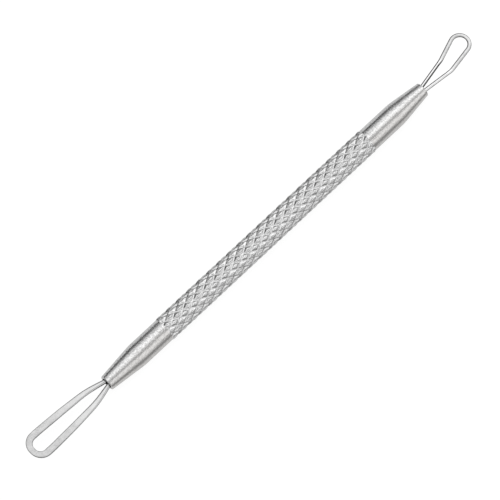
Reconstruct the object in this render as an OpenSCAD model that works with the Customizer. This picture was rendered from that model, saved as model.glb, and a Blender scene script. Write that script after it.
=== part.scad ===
// Double-ended blackhead extractor: a knurled steel bar with a wire loop fixed in each end.
// Millimetres. The bar's axis is X, its middle is the origin, and both loops lie in the XY plane.

/* [Grip] */
// Length of the knurled stretch in the middle of the bar
grip_len = 55.5; // [30:0.5:80]
// Diameter over the crests of the knurl
grip_d = 5.25; // [4.9:0.05:9]
// Number of knurl grooves that run each way round the bar
knurl_starts = 10; // [8:1:14]
// Angle between a knurl groove and the bar's axis
knurl_angle = 31; // [25:1:40]
// Depth of the knurl from crest to groove
knurl_depth = 0.35; // [0.1:0.05:0.4]
// Share of each diamond that its flat crest takes
crest_share = 0.25; // [0.15:0.05:0.6]

/* [Smooth ends] */
// How far the smooth collars lie below the knurl's crests
collar_step = 0.15; // [0.05:0.005:0.2]
// Length of the smooth collar beside the large loop
large_collar_len = 7.5; // [2:0.1:15]
// Length of the cone beside the large loop
large_cone_len = 8; // [3:0.1:15]
// Length of the smooth collar beside the small loop
small_collar_len = 8.3; // [2:0.1:15]
// Length of the cone beside the small loop
small_cone_len = 7.4; // [3:0.1:15]
// Length of the soft shoulder where a collar turns into its cone
shoulder_len = 1.2; // [0.4:0.1:2]
// Thickness of the bar's wall round the large loop's bore at its mouth
large_nose_wall = 0.52; // [0.4:0.02:0.7]
// Thickness of the bar's wall round the small loop's bore at its mouth
small_nose_wall = 0.58; // [0.4:0.02:0.7]
// Width of the broken edge round each mouth
nose_break = 0.12; // [0.05:0.01:0.2]

/* [Fixing of the wires] */
// How far the wire legs reach into the bar
leg_depth = 6; // [4:0.5:12]
// Clear space round the pair of legs in their bore
leg_clearance = 0.15; // [0.08:0.01:0.2]
// Gap between the two legs of a loop inside the bar
leg_gap = 0.16; // [0.04:0.01:0.2]
// Radius of the bend where each leg spreads at its mouth
leg_bend_r = 2; // [1:0.25:3]
// Depth of the bore past the ends of the legs
bore_spare = 0.5; // [0.2:0.1:2]
// How far the solder stays back from the mouth
solder_recess = 1.2; // [0.8:0.1:3]

/* [Large loop] */
// Diameter of the large loop's wire
large_wire_d = 0.9; // [0.7:0.05:1.1]
// Width of the flattened band
large_band_w = 1.5; // [1.2:0.05:1.7]
// Width of the band across the tip, where the bend stretched it
large_tip_w = 1.25; // [1:0.05:1.7]
// Length behind the tip over which the band narrows
large_narrow_len = 2.9; // [1:0.1:4]
// Thickness of the flattened band
large_band_t = 0.45; // [0.3:0.05:0.7]
// How far the loop stands out of the bar
large_reach = 20.25; // [17:0.25:26]
// Width over the loop at its widest
large_width = 5.9; // [5:0.05:6.5]
// Angle that the loop leans by to one side of the bar
large_lean = 0.6; // [0:0.1:3]
// Width over the legs at the neck, where they stop spreading quickly
large_neck_w = 3.95; // [3.6:0.05:4.3]
// Distance from the mouth to the neck
large_neck_at = 4.1; // [3.5:0.1:5.5]
// Radius of the bend at the neck
large_neck_r = 20; // [5:1:25]
// Share of its spread that the loop has half way from the neck to its widest place
large_half_way = 0.6; // [0.5:0.02:0.7]
// Radius of the soft bends past the neck
large_side_r = 30; // [10:5:35]
// Length of the parallel sides in front of the tip
large_side_len = 1.5; // [1.4:0.1:3]
// Length of the straight across the tip
large_tip_flat = 0.35; // [0.1:0.05:1]
// Distance from the mouth to where the wire starts to flatten
large_flat_from = 0; // [0:0.1:4]
// Distance from the mouth to where the wire is fully flat
large_flat_to = 14.5; // [6:0.1:16]

/* [Small loop] */
// Diameter of the small loop's wire
small_wire_d = 0.75; // [0.6:0.05:0.9]
// Width of the pressed band round the small loop's head
small_band_w = 0.85; // [0.8:0.05:1]
// Width of the band across the tip, where the bend stretched it
small_tip_w = 0.8; // [0.7:0.05:1]
// Length behind the tip over which the band narrows
small_narrow_len = 2.4; // [1:0.1:4]
// Thickness of the pressed band round the small loop's head
small_band_t = 0.6; // [0.4:0.05:0.75]
// How far the loop stands out of the bar
small_reach = 14.4; // [12.5:0.05:18]
// Turn of the loop's head to one side of the bar
small_head_turn = 14.3; // [5:0.1:18]
// Angle between the head's two flanks, which open towards its round tip
small_head_spread = 10; // [4:0.5:14]
// Distance from the mouth to the bend in each leg
small_bend_at = 6.9; // [6:0.1:7.5]
// Radius of the bend in each leg
small_bend_r = 3; // [1:0.5:5]
// Angle that the leg on the bent side leaves the bar at
small_leg_up = 11.1; // [7:0.1:12]
// Angle that the other leg leaves the bar at
small_leg_down = 6.2; // [6:0.1:9]
// Length round the bends over which the round wire turns into the pressed band
small_press_len = 2; // [1:0.5:4]

/* [Hidden] */
steel = "#c9cacc";
bright_steel = "#d8d9db";
solder_grey = "#a9aaa8";
fine = 96;
wire_sides = 16;
max_step = 0.8;
seat_step = 0.025;
min_step = 0.01;
arc_step = 10;

collar_d = grip_d - 2 * collar_step;
bar_len = grip_len + large_collar_len + large_cone_len + small_collar_len + small_cone_len;
large_face_x = -bar_len / 2;
small_face_x = bar_len / 2;
grip_from_x = large_face_x + large_cone_len + large_collar_len;
grip_to_x = grip_from_x + grip_len;

function bore_r(wire_d) = wire_d + leg_gap / 2 + leg_clearance;
function leg_y(wire_d) = (wire_d + leg_gap) / 2;

// The knurl is a net of diamonds. Net point (row, step) is a crest where row + step is even
// and a groove crossing where it is odd. Each crest has a flat diamond with four corners.
half_turn = 180 / knurl_starts;
net_steps = 2 * knurl_starts;
net_rows = round(grip_len * tan(knurl_angle) * 2 * knurl_starts / (PI * grip_d));
net_pitch = grip_len / net_rows;
crest_r = grip_d / 2;
groove_r = crest_r - knurl_depth;
seat_r = collar_d / 2 - seat_step;

function net_point(row, step, r) =
    [r * cos(step * half_turn), -r * sin(step * half_turn), row * net_pitch];
function net_r(row) = row <= 0 || row >= net_rows ? seat_r : groove_r;
function net_id(row, step) = row * net_steps + (step + net_steps) % net_steps;
function crest_id(row, step, corner) =
    (net_rows + 1) * net_steps
    + 4 * ((row - 1) * knurl_starts + floor(((step + net_steps) % net_steps) / 2))
    + corner;
ways = [[-1, 0], [0, 1], [1, 0], [0, -1]];

module knurled_grip() {
    net = [
        for (row = [0:net_rows], step = [0:net_steps - 1])
            net_point(row, step, net_r(row))
    ];
    flat_r = crest_r / cos(crest_share * half_turn);
    crests = [
        for (row = [1:net_rows - 1], i = [0:knurl_starts - 1])
            let (step = 2 * i + row % 2)
            for (way = ways)
                net_point(
                    row + crest_share * way[0],
                    step + crest_share * way[1],
                    way[1] == 0 ? crest_r : flat_r
                )
    ];
    flats = [
        for (row = [1:net_rows - 1], i = [0:knurl_starts - 1])
            let (step = 2 * i + row % 2)
            [for (k = [0:3]) crest_id(row, step, k)]
    ];
    flanks = [
        for (row = [1:net_rows - 1], i = [0:knurl_starts - 1], k = [0:3])
            let (
                step = 2 * i + row % 2,
                way = ways[k],
                next = ways[(k + 1) % 4],
                a = crest_id(row, step, k),
                b = net_id(row + way[0], step + way[1]),
                c = net_id(row + next[0], step + next[1]),
                d = crest_id(row, step, (k + 1) % 4)
            )
            each [[a, b, c], [a, c, d]]
    ];
    first_rims = [
        for (i = [0:knurl_starts - 1])
            let (step = 2 * i)
            each [
                [net_id(0, step), net_id(1, step), net_id(0, step - 1)],
                [net_id(0, step), net_id(0, step + 1), net_id(1, step)]
            ]
    ];
    last_rims = [
        for (i = [0:knurl_starts - 1])
            let (step = 2 * i + net_rows % 2)
            each [
                [net_id(net_rows, step), net_id(net_rows, step - 1), net_id(net_rows - 1, step)],
                [net_id(net_rows, step), net_id(net_rows - 1, step), net_id(net_rows, step + 1)]
            ]
    ];
    first_end = [for (step = [net_steps - 1:-1:0]) net_id(0, step)];
    last_end = [for (step = [0:net_steps - 1]) net_id(net_rows, step)];
    polyhedron(
        points = concat(net, crests),
        faces = concat(flats, flanks, first_rims, last_rims, [first_end, last_end]),
        convexity = 10
    );
}

// One smooth end of the bar, from the knurl at Z = 0 up to its mouth, with the bore for the legs.
module smooth_end(collar_len, cone_len, wire_d, nose_wall) {
    end_len = collar_len + cone_len;
    drill_r = bore_r(wire_d);
    mouth_r = drill_r + nose_wall;
    slope = (collar_d / 2 - mouth_r) / cone_len;
    difference() {
        rotate_extrude($fn = fine)
            polygon([
                [0, 0],
                [collar_d / 2, 0],
                [collar_d / 2, collar_len - shoulder_len / 2],
                [collar_d / 2 - slope * shoulder_len / 8, collar_len],
                [collar_d / 2 - slope * shoulder_len / 2, collar_len + shoulder_len / 2],
                [mouth_r + slope * nose_break, end_len - nose_break],
                [mouth_r - nose_break, end_len],
                [0, end_len]
            ]);
        translate([0, 0, end_len - leg_depth - bore_spare])
            cylinder(r = drill_r, h = leg_depth + bore_spare + 1, $fn = fine);
        translate([0, 0, end_len - leg_depth - bore_spare - drill_r / 2])
            cylinder(r1 = 0, r2 = drill_r, h = drill_r / 2, $fn = fine);
    }
}

module handle() {
    color(steel) {
        translate([grip_from_x, 0, 0])
            rotate([0, 90, 0])
                knurled_grip();
        translate([grip_from_x, 0, 0])
            rotate([0, -90, 0])
                smooth_end(large_collar_len, large_cone_len, large_wire_d, large_nose_wall);
        translate([grip_to_x, 0, 0])
            rotate([0, 90, 0])
                smooth_end(small_collar_len, small_cone_len, small_wire_d, small_nose_wall);
    }
}

// A wire is bent along straight lines with round corners. A path is a list of [x, y, radius].
function unit(v) = v / norm(v);
function flat(p) = [p[0], p[1]];
function corner(a, b, c, r) =
    let (
        u = unit(a - b),
        v = unit(c - b),
        half = acos(u * v) / 2,
        centre = b + unit(u + v) * r / sin(half),
        from = b + u * r / tan(half) - centre,
        way = cross(u, v) > 0 ? -1 : 1,
        turn = way * (180 - 2 * half),
        start = atan2(from[1], from[0]),
        count = max(2, ceil(abs(turn) / arc_step))
    )
    [for (k = [0:count]) centre + r * [cos(start + turn * k / count), sin(start + turn * k / count)]];
function bend(path) = [
    flat(path[0]),
    for (i = [1:len(path) - 2])
        each corner(flat(path[i - 1]), flat(path[i]), flat(path[i + 1]), path[i][2]),
    flat(path[len(path) - 1])
];
function divide(points) = [
    for (i = [0:len(points) - 2])
        let (
            way = points[i + 1] - points[i],
            count = ceil(norm(way) / max_step)
        )
        if (norm(way) > min_step)
            for (k = [0:count - 1]) points[i] + way * k / count,
    points[len(points) - 1]
];
function heading(points, i) =
    unit(points[min(i + 1, len(points) - 1)] - points[max(i - 1, 0)]);
function pressed(t) = 1 - pow(1 - max(0, min(1, t)), 2);

// Radius out to the corners of a faceted wire that measures d over its facets.
function corner_r(d) = d / 2 / cos(180 / wire_sides);

// Section of a wire: two half circles as wide apart as the band is wider than it is thick.
function section(w, t) = [
    for (k = [0:wire_sides - 1])
        let (
            a = 360 * (k + 0.5) / wire_sides,
            side = cos(a) > 0 ? 1 : -1
        )
        [side * (w - t) / 2 + corner_r(t) * cos(a), corner_r(t) * sin(a)]
];

// Sweeps the section along the path. Past flat_from it is pressed from round to band_w by band_t,
// and over narrow_len behind tip_x the band narrows to tip_w.
module swept_wire(path, wire_d, band_w, band_t, flat_from, flat_to, tip_x, tip_w, narrow_len) {
    points = divide(bend(path));
    rings = [
        for (i = [0:len(points) - 1])
            let (
                h = heading(points, i),
                share = pressed((points[i][0] - flat_from) / (flat_to - flat_from)),
                narrow = pow(max(0, 1 - (tip_x - points[i][0]) / narrow_len), 2),
                w = wire_d + (band_w - wire_d) * share + (tip_w - band_w) * narrow,
                t = wire_d + (band_t - wire_d) * share
            )
            for (p = section(w, t))
                [points[i][0] - h[1] * p[0], points[i][1] + h[0] * p[0], p[1]]
    ];
    last = len(points) - 1;
    walls = [
        for (i = [0:last - 1], k = [0:wire_sides - 1])
            let (
                n = (k + 1) % wire_sides,
                a = i * wire_sides + k,
                b = i * wire_sides + n,
                c = (i + 1) * wire_sides + n,
                d = (i + 1) * wire_sides + k
            )
            each [[a, b, c], [a, c, d]]
    ];
    ends = [
        [for (k = [wire_sides - 1:-1:0]) k],
        [for (k = [0:wire_sides - 1]) last * wire_sides + k]
    ];
    polyhedron(points = rings, faces = concat(walls, ends), convexity = 10);
}

// Path of the large loop, from its mouth outwards along +X. Both sides are the same, except that
// the whole loop leans a little to one side.
function large_path() =
    let (
        leg = leg_y(large_wire_d),
        neck_y = (large_neck_w - large_wire_d) / 2,
        side_y = (large_width - large_band_w) / 2,
        tip_x = large_reach - large_tip_w / 2,
        tip_r = side_y - large_tip_flat / 2,
        side_x = tip_x - tip_r - large_side_len,
        middle_x = (large_neck_at + side_x) / 2,
        middle_y = neck_y + (side_y - neck_y) * large_half_way,
        half = [
            [-leg_depth, leg, 0],
            [0, leg, leg_bend_r],
            [large_neck_at, neck_y, large_neck_r],
            [middle_x, middle_y, large_side_r],
            [side_x, side_y, large_side_r],
            [tip_x, side_y, tip_r]
        ]
    )
    [
        for (p = half) lean(p, 1),
        for (i = [len(half) - 1:-1:0]) lean(half[i], -1)
    ];
function lean(p, side) = [p[0], side * p[1] + max(p[0], 0) * tan(large_lean), p[2]];

module large_loop() {
    color(steel)
        translate([large_face_x, 0, 0])
            mirror([1, 0, 0])
                swept_wire(
                    large_path(),
                    large_wire_d,
                    large_band_w,
                    large_band_t,
                    large_flat_from,
                    large_flat_to,
                    large_reach - large_tip_w / 2,
                    large_tip_w,
                    large_narrow_len
                );
}

// Path of the small loop. Each leg bends once, and the head past the bends is turned to one side.
// The lines of its flanks meet at a point behind the bends. A circle that touches both of them
// makes the tip.
function small_path() =
    let (
        leg = leg_y(small_wire_d),
        up_y = leg + small_bend_at * tan(small_leg_up),
        down_y = -leg - small_bend_at * tan(small_leg_down),
        half_spread = small_head_spread / 2,
        up_turn = small_head_turn + half_spread,
        down_turn = small_head_turn - half_spread,
        back = (up_y - down_y) / (tan(up_turn) - tan(down_turn)),
        meet = [small_bend_at - back, up_y - back * tan(up_turn)],
        tip_x = small_reach - small_tip_w / 2,
        tip_at = (tip_x - meet[0]) / (cos(small_head_turn) + sin(half_spread)),
        tip_r = tip_at * sin(half_spread),
        flank = (tip_at + tip_r) / cos(half_spread),
        up = meet + flank * [cos(up_turn), sin(up_turn)],
        down = meet + flank * [cos(down_turn), sin(down_turn)]
    )
    [
        [-leg_depth, leg, 0],
        [0, leg, leg_bend_r],
        [small_bend_at, up_y, small_bend_r],
        [up[0], up[1], tip_r],
        [down[0], down[1], tip_r],
        [small_bend_at, down_y, small_bend_r],
        [0, -leg, leg_bend_r],
        [-leg_depth, -leg, 0]
    ];

module small_loop() {
    color(bright_steel)
        translate([small_face_x, 0, 0])
            swept_wire(
                small_path(),
                small_wire_d,
                small_band_w,
                small_band_t,
                small_bend_at - small_press_len / 2,
                small_bend_at + small_press_len / 2,
                small_reach - small_tip_w / 2,
                small_tip_w,
                small_narrow_len
            );
}

// Solder that fills a bore round its two legs. The mouth is at X = 0 and the bore runs along -X.
module solder_plug(wire_d) {
    drill_r = bore_r(wire_d);
    bottom = leg_depth + bore_spare;
    rotate([0, -90, 0])
        difference() {
            union() {
                translate([0, 0, solder_recess])
                    cylinder(r = drill_r, h = bottom - solder_recess, $fn = fine);
                translate([0, 0, bottom])
                    cylinder(r1 = drill_r, r2 = 0, h = drill_r / 2, $fn = fine);
            }
            for (side = [-1, 1])
                translate([0, side * leg_y(wire_d), 0])
                    cylinder(r = corner_r(wire_d), h = leg_depth, $fn = fine);
        }
}

module large_loop_solder() {
    color(solder_grey)
        translate([large_face_x, 0, 0])
            mirror([1, 0, 0])
                solder_plug(large_wire_d);
}

module small_loop_solder() {
    color(solder_grey)
        translate([small_face_x, 0, 0])
            solder_plug(small_wire_d);
}

handle();
large_loop();
small_loop();
large_loop_solder();
small_loop_solder();
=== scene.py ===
import math
from typing import NamedTuple

import bpy
import numpy as np
from mathutils import Matrix, Vector


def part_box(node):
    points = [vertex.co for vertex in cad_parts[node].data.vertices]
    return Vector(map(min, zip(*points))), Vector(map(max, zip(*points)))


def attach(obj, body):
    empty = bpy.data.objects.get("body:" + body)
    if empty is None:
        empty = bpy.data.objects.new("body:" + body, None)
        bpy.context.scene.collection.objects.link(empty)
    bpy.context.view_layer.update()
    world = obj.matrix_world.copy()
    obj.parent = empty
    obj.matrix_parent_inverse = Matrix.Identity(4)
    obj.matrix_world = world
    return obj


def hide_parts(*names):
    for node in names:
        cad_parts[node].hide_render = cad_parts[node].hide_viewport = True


# A double-ended blackhead extractor: a knurled steel bar with a wire loop fixed in each end.
# Metres, in the CAD model's frame: the bar's axis is X and both loops lie in the XY plane.

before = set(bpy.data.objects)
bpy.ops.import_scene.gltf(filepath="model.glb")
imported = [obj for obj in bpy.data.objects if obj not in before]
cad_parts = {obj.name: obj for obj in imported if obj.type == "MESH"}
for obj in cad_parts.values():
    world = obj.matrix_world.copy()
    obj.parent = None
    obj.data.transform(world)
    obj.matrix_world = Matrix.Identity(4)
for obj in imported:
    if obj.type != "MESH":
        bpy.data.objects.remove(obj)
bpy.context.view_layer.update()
MM = 0.001

# The bar's ends and its radius over the knurl's crests, from the CAD model's box
BAR_LOW, BAR_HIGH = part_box("handle")
LARGE_FACE_X = BAR_LOW.x
SMALL_FACE_X = BAR_HIGH.x
CREST_R = BAR_HIGH.z

# The smooth ends. A shoulder is the soft bend from a collar to its cone, and each mouth has a wall
# of some thickness round its bore, with a broken edge outside
COLLAR_R = CREST_R - 0.15 * MM
LARGE_COLLAR_LEN = 7.5 * MM
LARGE_CONE_LEN = 8 * MM
SMALL_COLLAR_LEN = 8.3 * MM
SMALL_CONE_LEN = 7.4 * MM
SHOULDER_R = 12 * MM
COLLAR_START_LEN = 2 * MM
LARGE_NOSE_WALL = 0.52 * MM
SMALL_NOSE_WALL = 0.58 * MM
NOSE_BREAK = 0.12 * MM
NOSE_EDGE_R = 0.08 * MM
BORE_CORNER_R = 0.02 * MM

# The legs of the wires inside the bar
LEG_CLEARANCE = 0.15 * MM
LEG_GAP = 0.16 * MM
LEG_DEPTH = 6 * MM
LEG_BEND_R = 2 * MM
BORE_SPARE = 0.5 * MM

# The knurl. A period is the way along the bar from one diamond to the next, the centre is the middle
# of one diamond, a cell is one diamond in the mesh, and the groove's flat floor is a share of a period
GRIP_FROM_X = LARGE_FACE_X + LARGE_CONE_LEN + LARGE_COLLAR_LEN
GRIP_TO_X = SMALL_FACE_X - SMALL_CONE_LEN - SMALL_COLLAR_LEN
GRIP_RIM = 0.02 * MM
KNURL_STARTS = 10
KNURL_PERIOD = 2.74 * MM
KNURL_CENTRE_X = -1.22 * MM
KNURL_CENTRE_ANGLE = math.radians(112.2)
KNURL_CELL_STEPS = 18
DIAMOND_HEIGHT = 0.3 * MM
DIAMOND_BLUNTNESS = 2
GROOVE_FLAT = 0.08

# The large loop. The neck is where its legs stop spreading quickly, and the half way place lies
# between the neck and the widest place
LARGE_WIDTH = 5.9 * MM
LARGE_LEAN = math.radians(0.6)
LARGE_NECK_W = 3.95 * MM
LARGE_NECK_AT = 4.1 * MM
LARGE_NECK_R = 20 * MM
LARGE_HALF_WAY = 0.6
LARGE_SIDE_R = 30 * MM
LARGE_SIDE_LEN = 1.5 * MM
LARGE_TIP_FLAT = 0.35 * MM

# The small loop. Its head lies past a bend in each leg
SMALL_HEAD_TURN = math.radians(14.3)
SMALL_HEAD_SPREAD = math.radians(10)
SMALL_BEND_AT = 6.9 * MM
SMALL_BEND_R = 3 * MM
SMALL_LEG_UP = math.radians(11.1)
SMALL_LEG_DOWN = math.radians(6.2)
SMALL_PRESS_LEN = 2 * MM

# How finely the wires are swept and round corners are cut
WIRE_STEP = 0.12 * MM
WIRE_SIDES = 40
ARC_STEP = math.radians(4)

# Edges sharper than this stay sharp in the shading
SHARP_ANGLE = math.radians(35)

# The camera: the angle it sees the tool from, and where a point of the bar's axis lies in the
# photograph's 500 by 500 pixels
VIEW_AZIMUTH = math.radians(-44.73)
VIEW_ELEVATION = math.radians(70)
VIEW_DISTANCE = 929.1 * MM
PICTURE_SIDE = 500
FOCAL_PIXELS = 4770
AXIS_PIXEL = (261.6, 239.26)
AXIS_X = -1.35 * MM

# The studio: soft bands along the bar, each with its angle from straight up towards -Y and its
# brightness. They slant and get brighter with a direction's X, measured from the X of what the
# straight bar mirrors to the camera
STUDIO_BANDS = (
    (-90, 0.7),
    (-86, 0.25),
    (-81, 0.05),
    (-73, 0.05),
    (-61, 0.42),
    (-48, 0.7),
    (-31, 1.1),
    (-18, 1.4),
    (-6, 1.4),
    (9, 0.95),
    (23, 0.46),
    (30, 0.4),
    (37, 1.05),
    (58, 1.1),
    (66, 1.0),
    (76, 0.85),
    (84, 0.54),
    (90, 0.3),
)
STUDIO_SLANT = math.radians(12)
STUDIO_RISE = 0.15
MIRRORED_X = -math.sin(VIEW_AZIMUTH) * math.cos(VIEW_ELEVATION)

# The lamp over the table
LAMP_SIZE = 0.6
LAMP_POWER = 0.5
LAMP_PLACE = (0.1, 0.3, 0.8)

# The table: the paper and the glow that make it white to the eye, the shade of it that lights the
# tool, and how white the metal mirrors it within a strip along the bar, a painted reflection.
TABLE_HALF = 0.6
TABLE_PAPER = 0.16
TABLE_GLOW = 0.9
TABLE_SHADE = 0.33
TABLE_PAINTED_REFLECTION = 0.58
TABLE_STRIP_Y = (-7 * MM, 60 * MM)
TABLE_STRIP_EDGE = 6 * MM


class WireSizes(NamedTuple):
    """One wire, with the X of its mouth and the way it points. It is pressed from round to a band
    between two distances from the mouth, and the band narrows over a length behind the tip."""

    face_x: float
    way: int
    round_d: float
    band_w: float
    band_t: float
    press_from: float
    press_to: float
    reach: float
    tip_w: float
    narrow_len: float

    @property
    def tip_x(self):
        return self.reach - self.tip_w / 2

    @property
    def leg_y(self):
        return (self.round_d + LEG_GAP) / 2

    @property
    def bore_r(self):
        return self.round_d + LEG_GAP / 2 + LEG_CLEARANCE


class WireFinish(NamedTuple):
    """One wire's finish: its greys as drawn and as pressed, the distances from the mouth between
    which it turns from one to the other, and its roughness. Its walls carry painted shade: they are
    dark where the normal's Z is under wall_from and bright where it is over wall_to. The far shades,
    for the wire as drawn and as pressed, paint its walls towards +Y darker and those towards -Y
    brighter, and the leg shade paints the wall of the upper leg that looks at the other leg darker."""

    drawn: float
    pressed: float
    grey_from: float
    grey_to: float
    roughness: float
    wall_from: float
    wall_to: float
    far_shade_drawn: float
    far_shade_pressed: float
    leg_shade: float


LARGE_WIRE = WireSizes(
    face_x=LARGE_FACE_X,
    way=-1,
    round_d=0.9 * MM,
    band_w=1.5 * MM,
    band_t=0.45 * MM,
    press_from=0,
    press_to=14.5 * MM,
    reach=20.25 * MM,
    tip_w=1.25 * MM,
    narrow_len=2.9 * MM,
)
SMALL_WIRE = WireSizes(
    face_x=SMALL_FACE_X,
    way=1,
    round_d=0.75 * MM,
    band_w=0.85 * MM,
    band_t=0.6 * MM,
    press_from=SMALL_BEND_AT - SMALL_PRESS_LEN / 2,
    press_to=SMALL_BEND_AT + SMALL_PRESS_LEN / 2,
    reach=14.4 * MM,
    tip_w=0.8 * MM,
    narrow_len=2.4 * MM,
)
SATIN = WireFinish(
    drawn=0.67,
    pressed=0.67,
    grey_from=4 * MM,
    grey_to=16 * MM,
    roughness=0.25,
    wall_from=0.22,
    wall_to=0.78,
    far_shade_drawn=0.3,
    far_shade_pressed=-0.25,
    leg_shade=0,
)
BRIGHT = WireFinish(
    drawn=1.0,
    pressed=0.72,
    grey_from=6 * MM,
    grey_to=8 * MM,
    roughness=0.12,
    wall_from=0.45,
    wall_to=1.0,
    far_shade_drawn=0.4,
    far_shade_pressed=0.35,
    leg_shade=0.8,
)


def unit(vector):
    return vector / np.linalg.norm(vector)


def bent(path):
    """A flat line with round corners. Each path point is (x, y, radius): the corner between its two
    straights becomes the arc of that radius that touches both."""
    points = [np.array(path[0][:2])]
    for before, here, after in zip(path, path[1:], path[2:]):
        corner, radius = np.array(here[:2]), here[2]
        u, v = unit(np.array(before[:2]) - corner), unit(np.array(after[:2]) - corner)
        half = math.acos(np.clip(u @ v, -1, 1)) / 2
        centre = corner + unit(u + v) * radius / math.sin(half)
        start = corner + u * radius / math.tan(half) - centre
        turn = (math.pi - 2 * half) * (-1 if u[0] * v[1] - u[1] * v[0] > 0 else 1)
        count = max(2, math.ceil(abs(turn) / ARC_STEP))
        a = math.atan2(start[1], start[0]) + turn * np.linspace(0, 1, count + 1)
        points.extend(centre + radius * np.stack([np.cos(a), np.sin(a)], 1))
    points.append(np.array(path[-1][:2]))
    return np.array(points)


def spaced(points, step):
    """The same line cut into steps of one length along it, so that no two points coincide."""
    lengths = np.r_[0, np.cumsum(np.linalg.norm(np.diff(points, axis=0), axis=1))]
    at = np.linspace(0, lengths[-1], math.ceil(lengths[-1] / step) + 1)
    return np.stack([np.interp(at, lengths, points[:, k]) for k in range(2)], 1)


def quads_between(rows, columns):
    """The quads of a grid of points that closes on itself across its columns."""
    ids = np.arange(rows * columns).reshape(rows, columns)
    near, far = ids[:-1], ids[1:]
    return np.stack([near, np.roll(near, -1, 1), np.roll(far, -1, 1), far], -1).reshape(-1, 4)


def with_flat_ends(grid):
    """Points and faces of a grid of points (rows, columns, 3), with one flat face over its first row
    and one over its last."""
    rows, columns = grid.shape[:2]
    first_end = list(range(columns))[::-1]
    last_end = list(range((rows - 1) * columns, rows * columns))
    faces = quads_between(rows, columns).tolist() + [first_end, last_end]
    return grid.reshape(-1, 3), faces


def with_poles(grid):
    """Points and faces of a grid whose first and last rows each lie in one place. Such a row becomes
    one point, and the quads beside it become triangles."""
    rows, columns = grid.shape[:2]
    points = grid.reshape(-1, 3)[columns - 1 : 1 - columns]
    quads = np.clip(quads_between(rows, columns) - (columns - 1), 0, len(points) - 1)
    first_fan = quads[:columns, [0, 2, 3]]
    last_fan = quads[-columns:, [0, 1, 2]]
    return points, first_fan.tolist() + quads[columns:-columns].tolist() + last_fan.tolist()


def make_piece(name, points, faces, material, node, slot):
    """A piece with its place in its mesh, which replaces a node of the CAD model."""
    mesh = bpy.data.meshes.new(name)
    mesh.from_pydata(points.tolist(), [], faces)
    mesh.validate()
    mesh.polygons.foreach_set("use_smooth", np.ones(len(mesh.polygons), bool))
    mesh.set_sharp_from_angle(angle=SHARP_ANGLE)
    mesh.materials.append(material)
    piece = bpy.data.objects.new(name, mesh)
    bpy.context.scene.collection.objects.link(piece)
    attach(piece, "root")
    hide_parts(node)


def end_profile(wire, cone_len, nose_wall):
    """Outline (x, radius) of one smooth end, from the bottom of its bore, out over the mouth's
    broken edges, down the cone and over the soft shoulder to the collar."""
    mouth_r = wire.bore_r + nose_wall
    bottom = LEG_DEPTH + BORE_SPARE
    path = [
        (bottom + wire.bore_r / 2, 0, 0),
        (bottom, wire.bore_r, BORE_CORNER_R),
        (0, wire.bore_r, NOSE_EDGE_R / 2),
        (0, mouth_r - NOSE_BREAK, NOSE_EDGE_R),
        (NOSE_BREAK, mouth_r, NOSE_EDGE_R),
        (cone_len, COLLAR_R, SHOULDER_R),
        (cone_len + COLLAR_START_LEN, COLLAR_R, 0),
    ]
    outline = bent(path)
    return np.stack([wire.face_x - wire.way * outline[:, 0], outline[:, 1]], 1)


def groove_depth(x, angle):
    """Depth of the knurl below its crests. Two sets of helical grooves run over the bar, and u and v
    count them at a point. Each diamond between them is a blunt pyramid: it falls with a power of the
    way from its middle to the nearer groove, down to the groove's narrow flat floor."""
    around = (angle - KNURL_CENTRE_ANGLE) * KNURL_STARTS / (2 * math.pi)
    along = (x - KNURL_CENTRE_X) / KNURL_PERIOD
    u, v = along + around, along - around
    across = 2 * np.maximum(np.abs(u - np.round(u)), np.abs(v - np.round(v)))
    return DIAMOND_HEIGHT * np.clip(across / (1 - 2 * GROOVE_FLAT), 0, 1) ** DIAMOND_BLUNTNESS


def make_handle(material):
    """The bar as a surface turned round X: radius(x, angle) is the outline's, less the groove depth
    over the knurled stretch."""
    rows = round((GRIP_TO_X - GRIP_FROM_X) / KNURL_PERIOD * KNURL_CELL_STEPS)
    columns = KNURL_STARTS * KNURL_CELL_STEPS
    grip = np.stack([np.linspace(GRIP_FROM_X, GRIP_TO_X, rows + 1), np.full(rows + 1, CREST_R)], 1)
    outline = np.r_[
        end_profile(LARGE_WIRE, LARGE_CONE_LEN, LARGE_NOSE_WALL),
        [[GRIP_FROM_X - GRIP_RIM, COLLAR_R]],
        grip,
        [[GRIP_TO_X + GRIP_RIM, COLLAR_R]],
        end_profile(SMALL_WIRE, SMALL_CONE_LEN, SMALL_NOSE_WALL)[::-1],
    ]
    x, radius = outline[:, :1], outline[:, 1:]
    angle = np.arange(columns) * 2 * math.pi / columns
    knurled = (x >= GRIP_FROM_X - GRIP_RIM / 2) & (x <= GRIP_TO_X + GRIP_RIM / 2)
    radius = radius - np.where(knurled, groove_depth(x, angle[None, :]), 0)
    x = np.broadcast_to(x, radius.shape)
    grid = np.stack([x, radius * np.cos(angle), radius * np.sin(angle)], -1)
    make_piece("turned_handle", *with_poles(grid), material, "handle", "turned_steel")


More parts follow.
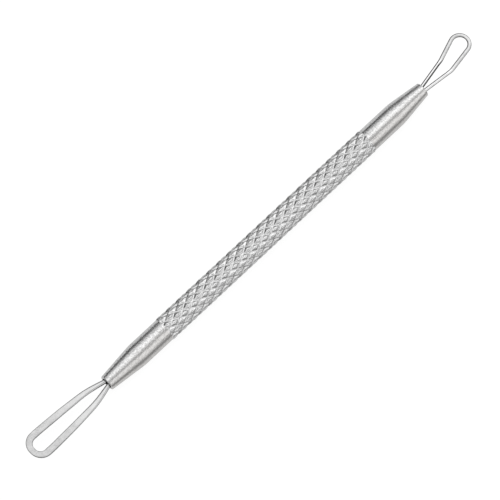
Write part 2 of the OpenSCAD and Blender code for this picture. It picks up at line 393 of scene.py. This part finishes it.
def make_wire(name, wire, path, material, node, slot):
    """A wire swept along a bent line in the XY plane. Its section is two half circles as far apart
    as the band is wider than thick. It turns from round to pressed with 1 - (1 - s)^2 of its share s
    of the way, and narrows with the square of the way into the tip."""
    line = spaced(bent(path), WIRE_STEP)
    heading = np.gradient(line, axis=0)
    heading /= np.linalg.norm(heading, axis=1, keepdims=True)
    way_pressed = (line[:, :1] - wire.press_from) / (wire.press_to - wire.press_from)
    share = 1 - (1 - np.clip(way_pressed, 0, 1)) ** 2
    narrow = np.clip(1 - (wire.tip_x - line[:, :1]) / wire.narrow_len, 0, 1) ** 2
    width = wire.round_d + (wire.band_w - wire.round_d) * share + (wire.tip_w - wire.band_w) * narrow
    thick = wire.round_d + (wire.band_t - wire.round_d) * share
    a = (np.arange(WIRE_SIDES) + 0.5) * 2 * math.pi / WIRE_SIDES
    round_r = thick / 2 / math.cos(math.pi / WIRE_SIDES)
    across = np.sign(np.cos(a)) * (width - thick) / 2 + round_r * np.cos(a)
    up = round_r * np.sin(a)
    x = line[:, :1] - heading[:, 1:] * across
    y = line[:, 1:] + heading[:, :1] * across
    grid = np.stack([wire.face_x + wire.way * x, y, up], -1)
    faces_inwards = wire.way < 0
    if faces_inwards:
        grid = grid[:, ::-1]
    make_piece(name, *with_flat_ends(grid), material, node, slot)


def large_loop_path():
    """Centre line of the large loop from its mouth outwards. Both sides are the same, except that the
    whole loop leans a little to one side."""
    neck_y = (LARGE_NECK_W - LARGE_WIRE.round_d) / 2
    side_y = (LARGE_WIDTH - LARGE_WIRE.band_w) / 2
    tip_x = LARGE_WIRE.tip_x
    tip_r = side_y - LARGE_TIP_FLAT / 2
    side_x = tip_x - tip_r - LARGE_SIDE_LEN
    half = [
        (-LEG_DEPTH, LARGE_WIRE.leg_y, 0),
        (0, LARGE_WIRE.leg_y, LEG_BEND_R),
        (LARGE_NECK_AT, neck_y, LARGE_NECK_R),
        ((LARGE_NECK_AT + side_x) / 2, neck_y + (side_y - neck_y) * LARGE_HALF_WAY, LARGE_SIDE_R),
        (side_x, side_y, LARGE_SIDE_R),
        (tip_x, side_y, tip_r),
    ]
    both = half + [(x, -y, r) for x, y, r in half[::-1]]
    lean = math.tan(LARGE_LEAN)
    return [(x, y + max(x, 0) * lean, r) for x, y, r in both]


def small_loop_path():
    """Centre line of the small loop. Each leg bends once, and the head past the bends is turned to
    one side. The lines of its flanks meet behind the bends, and a circle that touches both of them
    makes the tip."""
    leg_y = SMALL_WIRE.leg_y
    up_y = leg_y + SMALL_BEND_AT * math.tan(SMALL_LEG_UP)
    down_y = -leg_y - SMALL_BEND_AT * math.tan(SMALL_LEG_DOWN)
    half_spread = SMALL_HEAD_SPREAD / 2
    up_turn, down_turn = SMALL_HEAD_TURN + half_spread, SMALL_HEAD_TURN - half_spread
    back = (up_y - down_y) / (math.tan(up_turn) - math.tan(down_turn))
    meet_x, meet_y = SMALL_BEND_AT - back, up_y - back * math.tan(up_turn)
    tip_at = (SMALL_WIRE.tip_x - meet_x) / (math.cos(SMALL_HEAD_TURN) + math.sin(half_spread))
    tip_r = tip_at * math.sin(half_spread)
    flank = (tip_at + tip_r) / math.cos(half_spread)
    turns = (up_turn, down_turn)
    tips = [(meet_x + flank * math.cos(a), meet_y + flank * math.sin(a), tip_r) for a in turns]
    return [
        (-LEG_DEPTH, leg_y, 0),
        (0, leg_y, LEG_BEND_R),
        (SMALL_BEND_AT, up_y, SMALL_BEND_R),
        *tips,
        (SMALL_BEND_AT, down_y, SMALL_BEND_R),
        (0, -leg_y, LEG_BEND_R),
        (-LEG_DEPTH, -leg_y, 0),
    ]


class Value:
    """An output socket in a material. Arithmetic on it adds Math nodes."""

    def __init__(self, tree, socket):
        self.tree = tree
        self.socket = socket

    def math(self, operation, *others):
        values = dict(enumerate((self, *others)))
        return self.tree.node("ShaderNodeMath", {"operation": operation}, values)

    def behind(self, operation, first):
        return self.tree.node("ShaderNodeMath", {"operation": operation}, {0: first, 1: self})

    def __add__(self, other):
        return self.math("ADD", other)

    def __sub__(self, other):
        return self.math("SUBTRACT", other)

    def __mul__(self, other):
        return self.math("MULTIPLY", other)

    def __truediv__(self, other):
        return self.math("DIVIDE", other)

    def __radd__(self, other):
        return self.behind("ADD", other)

    def __rsub__(self, other):
        return self.behind("SUBTRACT", other)

    def __rmul__(self, other):
        return self.behind("MULTIPLY", other)

    def __rtruediv__(self, other):
        return self.behind("DIVIDE", other)

    def step(self, low, high):
        """0 below low, 1 above high and a smooth rise between them."""
        inputs = {"Value": self, "From Min": low, "From Max": high}
        return self.tree.node("ShaderNodeMapRange", {"interpolation_type": "SMOOTHSTEP"}, inputs)


class Tree:
    """The nodes of one material or of the world, emptied first."""

    def __init__(self, owner):
        owner.use_nodes = True
        self.nodes = owner.node_tree.nodes
        self.links = owner.node_tree.links
        self.nodes.clear()

    def node(self, kind, settings=None, inputs=None, output=0):
        """Adds a node, with its settings first and then its inputs' values or links."""
        made = self.nodes.new(kind)
        for name, value in (settings or {}).items():
            if name == "stops":
                self.set_stops(made.color_ramp, value)
            else:
                setattr(made, name, value)
        for name, value in (inputs or {}).items():
            if isinstance(value, Value):
                self.links.new(value.socket, made.inputs[name])
            else:
                made.inputs[name].default_value = value
        return Value(self, made.outputs[output]) if made.outputs else None

    def set_stops(self, ramp, stops):
        while len(ramp.elements) < len(stops):
            ramp.elements.new(1)
        for element, (position, shade) in zip(ramp.elements, stops):
            element.position = position
            element.color = grey(shade)

    def mix(self, share, first, second):
        """Colour between two colours."""
        inputs = {0: share, 6: first, 7: second}
        return self.node("ShaderNodeMix", {"data_type": "RGBA"}, inputs, output=2)

    def split(self, vector):
        """The X, Y and Z of a vector."""
        made = self.node("ShaderNodeSeparateXYZ", inputs={0: vector}).socket.node
        return [Value(self, output) for output in made.outputs]

    def place(self):
        """The X, Y and Z of a point on the piece, in metres."""
        return self.split(self.node("ShaderNodeTexCoord", output="Object"))

    def point(self, x, y, z):
        return self.node("ShaderNodeCombineXYZ", inputs={0: x, 1: y, 2: z})

    def noise(self, at, scale, detail=3, roughness=0.6):
        """Noise from 0 to 1, with scale in features a metre."""
        inputs = {"Vector": at, "Scale": scale, "Detail": detail, "Roughness": roughness}
        return self.node("ShaderNodeTexNoise", inputs=inputs)

    def bump(self, height, distance):
        inputs = {"Height": height, "Distance": distance, "Strength": 1.0}
        return self.node("ShaderNodeBump", inputs=inputs)

    def light_path(self, kind):
        return self.node("ShaderNodeLightPath", output=kind)


def grey(value, warm=0.0):
    """A grey, made a little warmer by adding red and taking blue."""
    return (value * (1 + warm), value, value * (1 - warm), 1)


def metal(tree, colour, roughness, normal):
    """Bare metal with those finishes, joined to the output."""
    inputs = {"Metallic": 1.0, "Base Color": colour, "Roughness": roughness, "Normal": normal}
    shader = tree.node("ShaderNodeBsdfPrincipled", inputs=inputs)
    tree.node("ShaderNodeOutputMaterial", inputs={"Surface": shader})


def turned_steel():
    """Turned bar: fine and slow rings round it, soft blotches, and fine pits that are dark and deep.
    The smooth ends have a faint warm tint on their -Y side, and the bores are painted near black as
    painted shade."""
    material = bpy.data.materials.new("turned_steel")
    tree = Tree(material)
    x, y, z = tree.place()
    at = tree.point(x, y, z)
    past_first_rim = x.step(GRIP_FROM_X - 0.1 * MM, GRIP_FROM_X)
    past_last_rim = x.step(GRIP_TO_X, GRIP_TO_X + 0.1 * MM)
    inside_grip = past_first_rim * (1 - past_last_rim)
    rings = tree.noise(tree.point(x, y * 0.01, z * 0.01), scale=9000, detail=2, roughness=0.7)
    slow_rings = tree.noise(tree.point(x, y * 0.05, z * 0.05), scale=1500)
    blotches = tree.noise(at, scale=700, detail=4)
    pits = tree.noise(at, scale=3400, detail=2, roughness=0.8)
    pitting = (pits - 0.5) * (1 - inside_grip * 0.3) * 10
    tone = (rings - 0.5) * 0.35 + (slow_rings - 0.5) * 0.5 + (blotches - 0.5) * 0.3 + 0.25
    colour = tree.mix(tone + pitting, grey(0.76), grey(0.50))
    # A faint warm tint over the smooth ends' -Y side.
    warm_minus_y_tint = (0 - y).step(-0.5 * MM, 1.5 * MM) * (1 - inside_grip) * 0.5
    colour = tree.mix(warm_minus_y_tint, colour, grey(0.66, warm=0.035))
    radius = (y * y + z * z).math("SQRT")
    # Painted shade: inside the bores the bar is painted near black.
    bore_painted_shade = 1 - radius.step(LARGE_WIRE.bore_r + 0.02 * MM, LARGE_WIRE.bore_r + 0.08 * MM)
    colour = tree.mix(bore_painted_shade, colour, grey(0.12))
    roughness = 0.14 + (slow_rings - 0.5) * 0.12 + (blotches - 0.5) * 0.1
    height = rings * (1 - inside_grip) + pitting + blotches * 0.5
    metal(tree, colour, roughness, tree.bump(height, distance=0.004 * MM))
    return material


def wire_steel(name, wire, finish):
    """Drawn wire with faint marks along it, a fine grain and a soft mottle. Its walls are painted
    darker than its top and underside as painted shade, and the wire is greyer and rougher where it
    was pressed."""
    material = bpy.data.materials.new(name)
    tree = Tree(material)
    x, y, z = tree.place()
    at = tree.point(x, y, z)
    marks = tree.noise(tree.point(x * 0.15, y, z), scale=6000)
    grain = tree.noise(at, scale=7000, detail=2, roughness=0.7)
    mottle = tree.noise(at, scale=900, detail=4)
    tone = (grain - 0.5) * 1.6 + (marks - 0.5) * 0.6 + mottle
    pressed = ((x - wire.face_x) * wire.way).step(finish.grey_from, finish.grey_to)
    as_drawn = tree.mix(tone, grey(finish.drawn), grey(finish.drawn * 0.8))
    as_pressed = tree.mix(tone, grey(finish.pressed), grey(finish.pressed * 0.6))
    colour = tree.mix(pressed, as_drawn, as_pressed)
    towards = tree.split(tree.node("ShaderNodeNewGeometry", output="Normal"))
    upper_leg = y.math("GREATER_THAN", 0) * (1 - pressed)
    leg_wall_shade = (0 - towards[1]).math("MAXIMUM", 0) * upper_leg * finish.leg_shade
    far_wall_shade = towards[1] * (finish.far_shade_drawn + pressed * (finish.far_shade_pressed - finish.far_shade_drawn))
    upright = towards[2].math("ABSOLUTE") - far_wall_shade - leg_wall_shade
    # Painted shade: walls that face sideways are painted towards near black, shifted by the far and
    # leg shades.
    colour = tree.mix(1 - upright.step(finish.wall_from, finish.wall_to), colour, grey(0.03))
    roughness = finish.roughness + (mottle - 0.5) * 0.12 + pressed * 0.1
    metal(tree, colour, roughness, tree.bump(marks * 0.6 + grain * 0.4, distance=0.006 * MM))
    return material


def solder():
    """Dull grey solder with a frosted, lumpy skin."""
    material = bpy.data.materials.new("solder")
    tree = Tree(material)
    x, y, z = tree.place()
    lumps = tree.noise(tree.point(x, y, z), scale=1500, roughness=0.55)
    colour = tree.mix(lumps, grey(0.5), grey(0.3))
    metal(tree, colour, 0.45 + lumps * 0.2, tree.bump(lumps, distance=0.02 * MM))
    return material


def white_table():
    """Paper that the camera sees white. The metal mirrors it white within a strip along the bar, a
    painted reflection of a glow, and dark past it, and other light meets a plain grey."""
    material = bpy.data.materials.new("white_table")
    tree = Tree(material)
    y = tree.place()[1]
    low, high = TABLE_STRIP_Y
    # Painted reflection: in what the metal mirrors, the table glows white only within this strip.
    painted_reflection_strip = y.step(low - TABLE_STRIP_EDGE, low) * (1 - y.step(high, high + TABLE_STRIP_EDGE))
    mirrored = tree.light_path("Is Glossy Ray").math("MAXIMUM", tree.light_path("Is Transmission Ray"))
    whiteness = tree.light_path("Is Camera Ray") + mirrored * painted_reflection_strip * TABLE_PAINTED_REFLECTION
    paper = tree.node("ShaderNodeBsdfDiffuse", inputs={"Color": grey(TABLE_PAPER)})
    glow = tree.node("ShaderNodeEmission", inputs={"Strength": TABLE_GLOW})
    white = tree.node("ShaderNodeAddShader", inputs={0: paper, 1: glow})
    plain = tree.node("ShaderNodeBsdfDiffuse", inputs={"Color": grey(TABLE_SHADE)})
    shown = tree.node("ShaderNodeMixShader", inputs={0: whiteness, 1: plain, 2: white})
    tree.node("ShaderNodeOutputMaterial", inputs={"Surface": shown})
    return material


def make_floor():
    """A wide white table that the bar lies on. It keeps the tool's soft shadow."""
    mesh = bpy.data.meshes.new("floor")
    corners = [(-1, -1), (1, -1), (1, 1), (-1, 1)]
    points = [(x * TABLE_HALF, y * TABLE_HALF, -CREST_R) for x, y in corners]
    mesh.from_pydata(points, [], [(0, 1, 2, 3)])
    mesh.materials.append(white_table())
    floor = bpy.data.objects.new("floor", mesh)
    bpy.context.scene.collection.objects.link(floor)


def make_studio():
    """A grey studio of soft bright and dark bands along the bar, brighter towards +X."""
    world = bpy.data.worlds.new("studio")
    bpy.context.scene.world = world
    tree = Tree(world)
    x, y, z = tree.split(tree.node("ShaderNodeTexCoord", output="Generated"))
    leaning = x - MIRRORED_X
    band_at = ((0 - y).math("ARCTAN2", z) - leaning * STUDIO_SLANT) / math.pi + 0.5
    brightest = max(brightness for degrees, brightness in STUDIO_BANDS)
    stops = [(degrees / 180 + 0.5, brightness / brightest) for degrees, brightness in STUDIO_BANDS]
    bands = tree.node("ShaderNodeValToRGB", {"stops": stops}, {"Fac": band_at})
    light = bands * brightest * (1 + leaning * STUDIO_RISE)
    shade = tree.node("ShaderNodeBackground", inputs={"Color": (1, 1, 1, 1), "Strength": light})
    tree.node("ShaderNodeOutputWorld", inputs={"Surface": shade})


def make_lamp():
    """A large soft lamp high over the bar, which draws its faint shadow on the table."""
    lamp = bpy.data.lights.new("overhead_lamp", "AREA")
    lamp.shape = "DISK"
    lamp.size = LAMP_SIZE
    lamp.energy = LAMP_POWER
    hung = bpy.data.objects.new("overhead_lamp", lamp)
    bpy.context.scene.collection.objects.link(hung)
    hung.location = LAMP_PLACE
    hung.rotation_euler = hung.location.to_track_quat("Z", "Y").to_euler()
    hung.visible_glossy = False


def make_camera():
    """A long lens from the photograph's angle, aimed so that the axis point falls on its pixel."""
    a, e = VIEW_AZIMUTH, VIEW_ELEVATION
    back = Vector((math.sin(a) * math.cos(e), -math.cos(a) * math.cos(e), math.sin(e)))
    right = Vector((math.cos(a), math.sin(a), 0))
    up = back.cross(right)
    metres_per_pixel = VIEW_DISTANCE / FOCAL_PIXELS
    off_right = (AXIS_PIXEL[0] - PICTURE_SIDE / 2) * metres_per_pixel
    off_up = (PICTURE_SIDE / 2 - AXIS_PIXEL[1]) * metres_per_pixel
    lens = bpy.data.cameras.new("camera")
    lens.lens = FOCAL_PIXELS * lens.sensor_width / PICTURE_SIDE
    lens.clip_start = 0.01
    lens.clip_end = 100
    camera = bpy.data.objects.new("camera", lens)
    camera.matrix_world = Matrix((right, up, back)).transposed().to_4x4()
    aim = Vector((AXIS_X, 0, 0)) - right * off_right - up * off_up
    camera.matrix_world.translation = aim + back * VIEW_DISTANCE
    bpy.context.scene.collection.objects.link(camera)
    bpy.context.scene.camera = camera


bpy.context.scene.view_settings.view_transform = "Standard"
make_camera()
make_floor()
make_studio()
make_lamp()

make_handle(turned_steel())
make_wire(
    "flat_wire_loop",
    LARGE_WIRE,
    large_loop_path(),
    wire_steel("satin_wire", LARGE_WIRE, SATIN),
    "large_loop",
    "satin_wire",
)
make_wire(
    "slim_wire_loop",
    SMALL_WIRE,
    small_loop_path(),
    wire_steel("bright_wire", SMALL_WIRE, BRIGHT),
    "small_loop",
    "bright_wire",
)
solder_grey = solder()
for node in ("large_loop_solder", "small_loop_solder"):
    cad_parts[node].data.materials.clear()
    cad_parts[node].data.materials.append(solder_grey)

bpy.context.view_layer.update()
